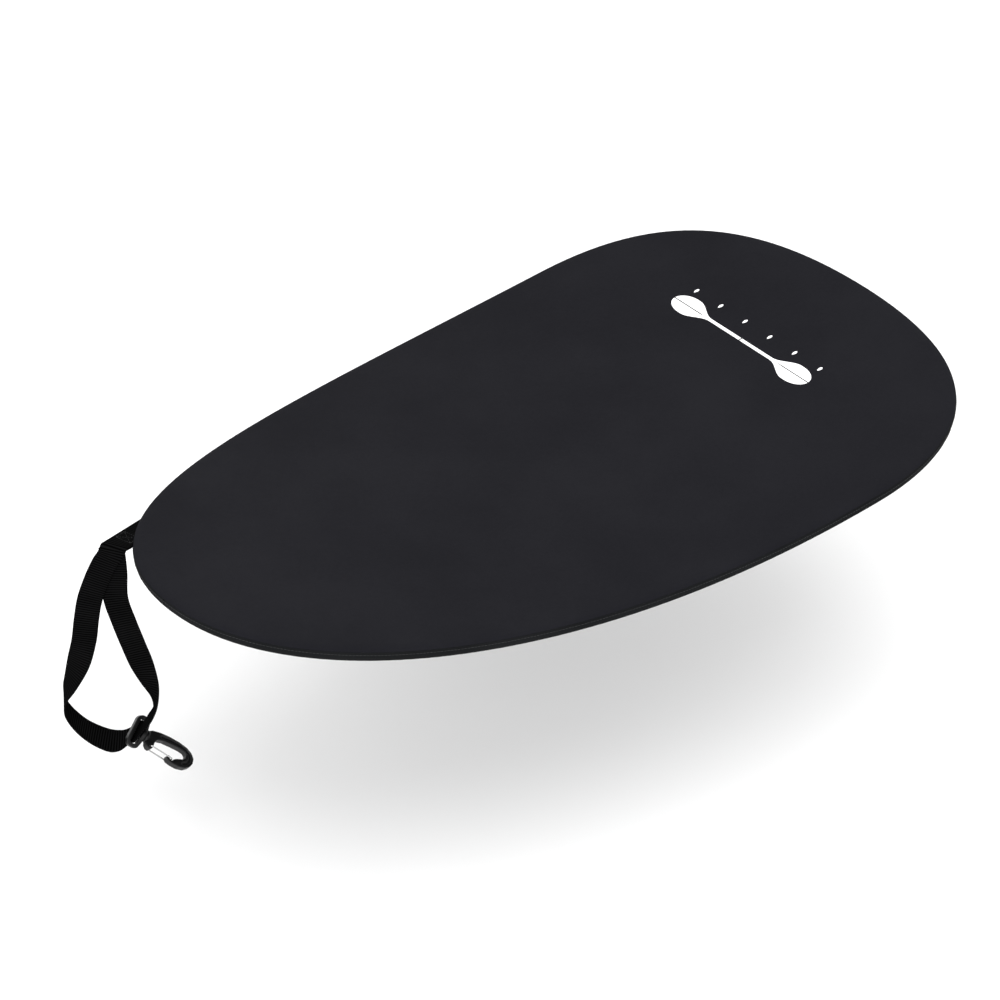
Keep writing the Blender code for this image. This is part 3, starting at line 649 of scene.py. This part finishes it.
def ringAround(distance, radius, sides, inward, down, shift=0.0):
    # rings of points round the hem's centre line, station by station
    rings = []
    for k in range(sides):
        turn = 2 * math.pi * k / sides
        up = -down + shift + radius * math.sin(turn)
        rings.append(rimPlace(distance, -inward + radius * math.cos(turn), up))
    return np.stack(rings, 1)


def buildCasing(name, node, first, last, setup, surface):
    count = int((last - first) / setup["spacing"])
    around = np.linspace(first, last, count)
    wave = gatherWave(around, skirt["gatherSpacing"])
    shift = wave * setup["sway"]
    sides = setup["sides"]
    outer = ringAround(around, setup["radius"] + setup["ruffle"] * (0.3 + 0.7 * wave), sides,
                       setup["inward"], setup["down"], shift)
    inner = ringAround(around, setup["radius"] - setup["wall"] + 0 * around, sides,
                       setup["inward"], setup["down"], shift)
    points = np.concatenate([outer.reshape(-1, 3), inner.reshape(-1, 3)])
    girth = 2 * math.pi * setup["radius"] / sides
    flat = np.stack([np.tile(np.arange(sides) * girth, count), np.repeat(around, sides)], 1)
    piece = addPiece(name, points, pipeFaces(count, sides), surface, coords=np.vstack([flat, flat]))
    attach(piece, "cover")
    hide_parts(node)
    girth = 2 * math.pi * (setup["radius"] - setup["wall"] / 2)
    print(name + ":", len(points), "points")


def buildHemCord(setup, surface):
    gap = skirt["seamGap"] / 2
    around = np.linspace(rimLength / 2 + gap, rimLength * 1.5 - gap, setup["cordStations"])
    sides = 12
    rings = ringAround(around, setup["cordRadius"] + 0 * around, sides, setup["inward"], setup["down"])
    girth = 2 * math.pi * setup["cordRadius"] / sides
    flat = np.stack([np.tile(np.arange(sides) * girth, len(around)), np.repeat(around, sides)], 1)
    faces = gridFaces(len(around), sides, closeColumns=True)
    faces += endCaps(len(around), sides, flip=True)
    piece = addPiece("hemCord", rings.reshape(-1, 3), faces, surface, coords=flat)
    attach(piece, "cover")
    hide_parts("shock_cord")


def buildCrimp(setup, surface):
    count = setup["crimpStations"]
    around = rimLength / 2 + np.linspace(-0.5, 0.5, count) * setup["crimpLength"]
    share = np.linspace(0, 1, count)
    dents = np.maximum(0, np.sin(share * math.pi * setup["crimpDents"] * 2 - math.pi / 2)) ** 2
    lip = np.clip(np.minimum(share, 1 - share) / 0.04, 0.0, 1.0)
    radius = setup["crimpRadius"] - dents * setup["dentDepth"] - setup["lipDepth"] * (1 - lip)
    sides = 28
    outer = ringAround(around, radius, sides, setup["inward"], setup["down"])
    bore = np.full(count, setup["cordRadius"] + setup["boreRoom"])
    inner = ringAround(around, bore, sides, setup["inward"], setup["down"])
    points = np.concatenate([outer.reshape(-1, 3), inner.reshape(-1, 3)])
    piece = addPiece("cordCrimp", points, pipeFaces(count, sides), surface)
    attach(piece, "cover")
    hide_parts("cord_crimp")


def braidSurface():
    # dark is painted shade in the grooves between strands, light is painted highlight on the strand crowns
    look = {"dark": (0.004, 0.004, 0.004), "light": (0.016, 0.016, 0.017), "strand": 0.0017}
    surface = Surface("braided elastic", Roughness=0.6, Specular_IOR_Level=0.3)
    girth, along, place = surface.clothPlace()
    left = surface.wave(girth + along, look["strand"])
    right = surface.wave(along - girth, look["strand"])
    height = left * right + surface.noise(place, 800.0) * 0.15
    # painted highlight on the strand crowns and painted shade in the grooves between them, following the
    # braid relief
    surface.feed("Base Color", surface.tint(surface.between(height, 0.1, 0.9), look["dark"], look["light"]))
    surface.feed("Roughness", surface.between(height, 0.0, 1.0, 0.75, 0.5))
    surface.feed("Normal", surface.relief(height, 0.0004))
    return surface.material


def steelSurface(name, colour, rough):
    surface = Surface(name, Metallic=1.0, Specular_IOR_Level=0.5)
    place = surface.solidPlace()
    long = surface.node("ShaderNodeMapping", {"vector_type": "POINT"},
                        {"Vector": place, "Scale": (90.0, 900.0, 900.0)})
    streaks = surface.noise(long, 3.0, 2.0)
    spots = surface.noise(place, 420.0, 3.0, 0.6)
    stain = tuple(c * 0.72 for c in colour)
    surface.feed("Base Color", surface.tint(surface.between(spots, 0.35, 0.75), colour, stain))
    surface.feed("Roughness", surface.between(streaks * 0.6 + spots * 0.5, 0.3, 0.8, rough, rough + 0.2))
    surface.feed("Normal", surface.relief(streaks, 0.00004))
    return surface.material


buildCasing("hemCasingPort", "hem_casing_port", seam, middle - hem["mouth"] / 2, hem, bandCloth)
buildCasing("hemCasingStarboard", "hem_casing_starboard", middle + hem["mouth"] / 2, rimLength - seam,
            hem, bandCloth)
buildHemCord(hem, braidSurface())
buildCrimp(hem, steelSurface("crimp steel", (0.60, 0.60, 0.58), 0.32))


# sewing thread

thread = {
    "length": 0.0026, "pitch": 0.0034, "radius": 0.00022, "arch": 0.00022,
    "bandDrop": 0.0030, "bandOut": 0.0004, "hemIn": 0.0222, "hemDrop": 0.0139,
    "box": {"near": 0.0065, "far": 0.0205, "half": 0.0088, "pitch": 0.0027, "length": 0.0021},
}


def threadSurface(name, dark, light):
    surface = Surface(name, Roughness=0.55, Specular_IOR_Level=0.35)
    place = surface.solidPlace()
    twist = surface.noise(place, 2600.0, 1.0)
    surface.feed("Base Color", surface.tint(surface.between(twist, 0.3, 0.7), dark, light))
    surface.feed("Normal", surface.relief(twist, 0.0001))
    return surface.material


def buildStitches(name, places, alongs, ups, setup, surface, length=None):
    # a short arched bar of thread at every place
    places, alongs, ups = (np.asarray(v, float) for v in (places, alongs, ups))
    alongs = alongs / np.linalg.norm(alongs, axis=1, keepdims=True)
    ups = ups - alongs * np.sum(ups * alongs, 1, keepdims=True)
    ups /= np.linalg.norm(ups, axis=1, keepdims=True)
    sides = np.cross(ups, alongs)
    length = length or setup["length"]
    rings, corners = 5, 6
    shape = []
    for t in np.linspace(0, 1, rings):
        swell = 0.55 + 0.45 * math.sin(math.pi * t)
        for k in range(corners):
            turn = 2 * math.pi * k / corners
            lift = setup["arch"] * (math.sin(math.pi * t) - 0.35)
            shape.append(((t - 0.5) * length, setup["radius"] * swell * math.cos(turn),
                          lift + setup["radius"] * swell * math.sin(turn)))
    shape = np.array(shape)
    points = (places[:, None] + alongs[:, None] * shape[None, :, :1]
              + sides[:, None] * shape[None, :, 1:2] + ups[:, None] * shape[None, :, 2:]).reshape(-1, 3)
    one = gridFaces(rings, corners, closeColumns=True)
    one += endCaps(rings, corners, flip=True)
    faces = [tuple(n * len(shape) + v for v in face) for n in range(len(places)) for face in one]
    piece = addPiece(name, points, faces, surface)
    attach(piece, "cover")
    print(name + ":", len(places), "stitches")
    return piece


def buildSeamStitches(setup, surface):
    count = int(rimLength / setup["pitch"])
    around = np.arange(count) * rimLength / count
    ahead, behind = around + 0.001, around - 0.001
    _, normal = rimAt(around)
    outward = np.column_stack([normal, np.zeros(count)])

    def row(name, out, up, ups):
        here = rimPlace(around, np.full(count, out), up)
        slope = rimPlace(ahead, np.full(count, out), up) - rimPlace(behind, np.full(count, out), up)
        return buildStitches(name, here, slope, ups, setup, surface)

    row("bandStitches", setup["bandOut"], -setup["bandDrop"], outward)
    under = np.tile((0.0, 0.0, -1.0), (count, 1))
    row("hemStitches", -setup["hemIn"], -setup["hemDrop"], under)


def buildLeadStitches(setup, surface):
    # box and cross that sew the two layers of the lead together
    crossing, outward, across, normal, _ = leadAxes(strap)
    top = normal * (strap["thickness"] + strap["layerGap"] / 2)
    box = setup["box"]
    near, far, half = box["near"], box["far"], box["half"]
    corners = [(near, -half), (near, half), (far, half), (far, -half)]
    lines = [(corners[k], corners[(k + 1) % 4]) for k in range(4)]
    lines += [(corners[0], corners[2]), (corners[1], corners[3])]
    places, alongs = [], []
    for a, b in lines:
        reach = math.hypot(b[0] - a[0], b[1] - a[1])
        count = max(2, round(reach / box["pitch"]))
        for k in range(count):
            t = (k + 0.5) / count
            spot = (a[0] + (b[0] - a[0]) * t, a[1] + (b[1] - a[1]) * t)
            places.append(crossing + outward * spot[0] + across * spot[1] + top)
            alongs.append(outward * (b[0] - a[0]) + across * (b[1] - a[1]))
    ups = [normal] * len(places)
    piece = buildStitches("leadStitches", places, alongs, ups, setup, surface, box["length"])


seamThread = threadSurface("charcoal thread", (0.012, 0.012, 0.013), (0.030, 0.030, 0.032))
buildSeamStitches(thread, seamThread)
buildLeadStitches(thread, threadSurface("black thread", (0.007, 0.007, 0.007), (0.020, 0.020, 0.021)))


# patch inside the skirt, under the lead's sewn end

patch = {
    "halfLength": 0.026, "thickness": 0.0015, "lift": 0.0018, "stations": 27,
    "profile": [(-0.0065, -0.0122), (-0.0100, -0.0125), (-0.0144, -0.0128), (-0.0190, -0.0128),
                (-0.0238, -0.0127)],
}


def buildPatch(setup, surface):
    low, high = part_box("anchor_patch")
    centre = np.array([(low[0] + high[0]) / 2, (low[1] + high[1]) / 2])
    centreDistance = rimDistance[np.argmin(np.linalg.norm(rimTable - centre, axis=1))]
    count = setup["stations"]
    around = centreDistance + np.linspace(-1, 1, count) * setup["halfLength"]
    layers, coords = [], []
    for sign in (-1, 1):
        order = setup["profile"] if sign == -1 else setup["profile"][::-1]
        for out, up in order:
            height = up + setup["lift"] + sign * setup["thickness"] / 2
            layers.append(rimPlace(around, np.full(count, out), height))
            coords.append(np.column_stack([np.full(count, out), around]))
    rows = np.stack(layers, 1).reshape(-1, 3)
    columns = len(layers)
    faces = gridFaces(count, columns, closeColumns=True) + endCaps(count, columns)
    piece = addPiece("anchorPatch", rows, faces, surface, coords=np.stack(coords, 1).reshape(-1, 2))
    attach(piece, "cover")
    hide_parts("anchor_patch")


buildPatch(patch, bandCloth)


# printed mark: a plain double-bladed paddle and a row of small drops

mark = {
    "centre": (0.3000, 0.0205), "length": 0.214, "shaft": 0.0040, "bladeLength": 0.058, "bladeWidth": 0.029,
    "ribGap": 0.0014, "ringGap": 0.0016, "dropCount": 6, "dropRow": 0.3240, "dropPitch": 0.0396,
    "dropLength": 0.0075, "dropWidth": 0.0042, "ink": 0.00022,
    "tipStart": 0.62, "least": 0.0001,
}


def prismStrip(edgeA, edgeB, thickness, points, faces):
    # closed thin solid between two edges given as (along the mark, across it)
    start = len(points)
    cx, cy = mark["centre"]
    for a, b in zip(edgeA, edgeB):
        corners = ((*a, thickness), (*b, thickness), (*b, -thickness), (*a, -thickness))
        for along, across, lift in corners:
            x, y = cx + across, cy - along
            points.append((x, y, coverTop(x, y) + lift))
    rows = len(edgeA)
    shell = gridFaces(rows, 4, closeColumns=True) + endCaps(rows, 4, flip=True)
    faces += [tuple(start + v for v in face) for face in shell]


def bladeHalf(t, setup):
    # half width of a blade from its neck at 0 to its round tip at 1
    neck, full = setup["shaft"] / 2, setup["bladeWidth"] / 2
    grow = min(1.0, t / 0.55)
    grow = grow * grow * (3 - 2 * grow)
    tip = setup["tipStart"]
    taper = 1.0 if t < tip else math.sqrt(max(0.0, 1 - ((t - tip) / (1 - tip)) ** 2))
    return (neck + (full - neck) * grow) * max(taper, 0.02)


def buildMark(setup, surface):
    points, faces = [], []
    half, blade = setup["length"] / 2, setup["bladeLength"]
    for side in (-1, 1):
        tip = setup["tipStart"]
        rounded = tip + (1 - tip) * np.sin(np.linspace(0.1, 1, 14) * math.pi / 2)
        shares = np.concatenate([np.linspace(0, tip, 12), rounded])
        spots = [side * (half - blade + blade * t) for t in shares]
        gap = [setup["ribGap"] / 2 * min(1.0, max(0.0, t - 0.12) / 0.15) for t in shares]
        for wing in (-1, 1):
            inner = [(spot, wing * g) for spot, g in zip(spots, gap)]
            outer = [(spot, wing * max(bladeHalf(t, setup), g + setup["least"]))
                     for spot, t, g in zip(spots, shares, gap)]
            prismStrip(inner, outer, setup["ink"], points, faces)
        root = setup["ringGap"] / 2
        shaft = [side * (root + (half - blade - root) * t) for t in np.linspace(0, 1, 9)]
        prismStrip([(spot, -setup["shaft"] / 2) for spot in shaft],
                   [(spot, setup["shaft"] / 2) for spot in shaft], setup["ink"], points, faces)
    for k in range(setup["dropCount"]):
        middleSpot = (k - (setup["dropCount"] - 1) / 2) * setup["dropPitch"]
        shares = np.linspace(0, 1, 11)
        width = [setup["dropWidth"] / 2 * math.sin(math.pi * t) ** 0.7 * (0.55 + 0.45 * t) + setup["least"]
                 for t in shares]
        offset = setup["dropRow"] - setup["centre"][0]
        place = [offset - setup["dropLength"] / 2 + setup["dropLength"] * t for t in shares]
        prismStrip([(middleSpot - w, p) for w, p in zip(width, place)],
                   [(middleSpot + w, p) for w, p in zip(width, place)], setup["ink"], points, faces)
    piece = addPiece("paddleMark", points, faces, surface, smooth=False)
    faceOutwards(piece)
    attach(piece, "cover")
    print("paddle mark:", len(points), "points")


def faceOutwards(piece):
    # every closed shell faces outwards
    shape = bmesh.new()
    shape.from_mesh(piece.data)
    bmesh.ops.recalc_face_normals(shape, faces=shape.faces)
    shape.to_mesh(piece.data)
    shape.free()


def inkSurface():
    look = {"white": (0.86, 0.86, 0.86), "worn": (0.52, 0.52, 0.53), "thread": 0.0011}
    surface = Surface("white screen print", Roughness=0.5, Specular_IOR_Level=0.3)
    place = surface.solidPlace()
    x = surface.node("ShaderNodeSeparateXYZ", None, {0: place}, 0)
    y = surface.node("ShaderNodeSeparateXYZ", None, {0: place}, 1)
    weave = surface.wave(x, look["thread"]) * surface.wave(y, look["thread"])
    wear = surface.noise(place, 160.0, 4.0, 0.65)
    share = surface.between(wear + weave * 0.12, 0.66, 0.86)
    surface.feed("Base Color", surface.tint(share, look["white"], look["worn"]))
    surface.feed("Roughness", surface.between(wear, 0.3, 0.8, 0.45, 0.7))
    surface.feed("Normal", surface.relief(weave + wear * 0.3, 0.00008))
    return surface.material


buildMark(mark, inkSurface())


# swivel eye, snap hook and wire gate

hardware = {
    "hook": {"node": "hook_body", "body": "hook", "voxel": 0.00042, "smooth": 9, "slot": "hook_plastic"},
    "eye": {"node": "swivel_eye", "body": "eye", "voxel": 0.00042, "smooth": 8, "slot": "eye_plastic"},
    "channel": {"depth": 0.0011, "half": 0.0021, "face": 0.0022,
                "spine": [(0.0150, -0.0064), (0.0220, -0.0075), (0.0300, -0.0080), (0.0380, -0.0078),
                          (0.0440, -0.0066), (0.0485, -0.0040), (0.0506, -0.0004), (0.0508, 0.0034),
                          (0.0490, 0.0068), (0.0455, 0.0092)]},
    "slotSqueeze": {"from": 0.0115, "over": 0.0020, "by": 0.0008},
}


def hookAxes():
    # the hook's own axes: X along the swivel, Z along the gate's pin
    x = Vector(joints["hook_spin"]["axis"]).normalized()
    z = Vector(joints["gate_pivot"]["axis"]).normalized()
    y = z.cross(x).normalized()
    origin = Vector(joints["hook_spin"]["pos_m"])
    return Matrix.Translation(origin) @ Matrix((x, y, z)).transposed().to_4x4()


def eyeAxes():
    y = Vector(joints["eye_swing"]["axis"]).normalized()
    x = Vector(joints["hook_spin"]["axis"]).normalized()
    origin = Vector(joints["eye_swing"]["pos_m"])
    return Matrix.Translation(origin) @ Matrix((x, y, x.cross(y))).transposed().to_4x4()


def mouldedCopy(name, setup, surface):
    # the CAD shape as one skin, with the soft edges of a moulding
    piece = bpy.data.objects.new(name, nodes[setup["node"]].data.copy())
    bpy.context.scene.collection.objects.link(piece)
    skin = piece.modifiers.new("skin", "REMESH")
    skin.mode, skin.voxel_size, skin.use_smooth_shade = "VOXEL", setup["voxel"], True
    soften = piece.modifiers.new("soften", "SMOOTH")
    soften.factor, soften.iterations = 0.5, setup["smooth"]
    graph = bpy.context.evaluated_depsgraph_get()
    mesh = bpy.data.meshes.new_from_object(piece.evaluated_get(graph))
    piece.modifiers.clear()
    piece.data = mesh
    mesh.materials.clear()
    mesh.materials.append(surface)
    mesh.polygons.foreach_set("use_smooth", [True] * len(mesh.polygons))
    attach(piece, setup["body"])
    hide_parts(setup["node"])
    return piece


def reshape(piece, axes, change):
    # moves a mesh's points in the axes of its own part
    mesh = piece.data
    flat = np.empty(len(mesh.vertices) * 3, np.float32)
    mesh.vertices.foreach_get("co", flat)
    way, back = np.array(axes), np.array(axes.inverted())
    local = flat.reshape(-1, 3) @ back[:3, :3].T + back[:3, 3]
    moved = change(local) @ way[:3, :3].T + way[:3, 3]
    mesh.vertices.foreach_set("co", moved.astype(np.float32).ravel())
    mesh.update()


def carveChannel(local):
    # the shallow channel that runs along both faces of the hook's back
    setup = hardware["channel"]
    spine = np.array(setup["spine"])
    nearest = np.full(len(local), 1e9)
    for a, b in zip(spine[:-1], spine[1:]):
        run = b - a
        t = np.clip(((local[:, :2] - a) @ run) / (run @ run), 0, 1)
        nearest = np.minimum(nearest, np.linalg.norm(local[:, :2] - a - t[:, None] * run, axis=1))
    fall = np.clip(1 - nearest / setup["half"], 0, 1)
    fall = np.clip(fall * 2.2, 0, 1)
    face = np.clip((np.abs(local[:, 2]) - setup["face"]) / 0.0012, 0, 1)
    local[:, 2] -= np.sign(local[:, 2]) * setup["depth"] * fall * face
    return local


def squeezeSlot(local):
    # brings the ends of the eye's slot close to the webbing's edges
    setup = hardware["slotSqueeze"]
    share = np.clip((np.abs(local[:, 1]) - setup["from"]) / setup["over"], 0, 1)
    local[:, 1] -= np.sign(local[:, 1]) * setup["by"] * share * share * (3 - 2 * share)
    return local


def plasticSurface(name, rough):
    look = {"dark": (0.0020, 0.0020, 0.0022), "worn": (0.012, 0.012, 0.013)}
    surface = Surface(name, Specular_IOR_Level=0.24)
    place = surface.solidPlace()
    grain = surface.noise(place, 2200.0, 2.0)
    scuff = surface.noise(place, 240.0, 4.0, 0.7)
    edge = surface.node("ShaderNodeNewGeometry", None, None, "Pointiness")
    worn = surface.between(edge + scuff * 0.06, 0.545, 0.62)
    surface.feed("Base Color", surface.tint(worn * 0.6, look["dark"], look["worn"]))
    surface.feed("Roughness", surface.between(scuff + grain * 0.2, 0.35, 0.9, rough, rough + 0.18))
    surface.feed("Normal", surface.relief(grain * 0.5 + scuff * 0.3, 0.00005))
    return surface.material


def finishNode(node, surface):
    for place in nodes[node].material_slots:
        place.material = surface


eyePiece = mouldedCopy("swivelEye", hardware["eye"], plasticSurface("black eye moulding", 0.34))
reshape(eyePiece, eyeAxes(), squeezeSlot)
hookPiece = mouldedCopy("snapHook", hardware["hook"], plasticSurface("black hook moulding", 0.30))
reshape(hookPiece, hookAxes(), carveChannel)
finishNode("wire_gate", steelSurface("bright gate wire", (0.52, 0.52, 0.52), 0.14))
declareStrap(strap)
print("hardware:", len(hookPiece.data.vertices), "hook points,", len(eyePiece.data.vertices), "eye points")


# surroundings

studio = {
    "floorDrop": 0.075, "floorSize": 14.0, "floorColour": (0.86, 0.86, 0.86),
    "sky": (1.0, 1.0, 1.0), "skyStrength": 1.2,
    "key": {"place": (-0.2, -0.6, 3.2), "size": 3.6, "power": 64.0},
    "fill": {"place": (-3.0, -2.4, 1.6), "size": 2.8, "power": 90.0},
}


def buildStudio(setup):
    scene = bpy.context.scene
    scene.view_settings.view_transform = "Standard"
    world = bpy.data.worlds.new("studio")
    scene.world = world
    world.use_nodes = True
    sky = world.node_tree.nodes["Background"]
    sky.inputs["Color"].default_value = (*setup["sky"], 1.0)
    sky.inputs["Strength"].default_value = setup["skyStrength"]
    floor = Surface("pale floor", Roughness=0.9, Specular_IOR_Level=0.1)
    floor.feed("Base Color", floor.tint(floor.noise(floor.solidPlace(), 3.0), setup["floorColour"],
                                        tuple(c * 0.985 for c in setup["floorColour"])))
    low = cadBox[0].z - setup["floorDrop"]
    edge = setup["floorSize"] / 2
    corners = [(-edge, -edge, low), (edge, -edge, low), (edge, edge, low), (-edge, edge, low)]
    addPiece("floor", corners, [(0, 1, 2, 3)], floor.material, smooth=False)
    for name in ("key", "fill"):
        lamp = setup[name]
        data = bpy.data.lights.new(name, "AREA")
        data.shape, data.size, data.energy = "DISK", lamp["size"], lamp["power"]
        light = bpy.data.objects.new(name, data)
        light.location = lamp["place"]
        light.rotation_mode = "QUATERNION"
        light.rotation_quaternion = (-Vector(lamp["place"])).to_track_quat("-Z", "Y")
        scene.collection.objects.link(light)
    print("studio ready")


buildStudio(studio)

print("scene finished")
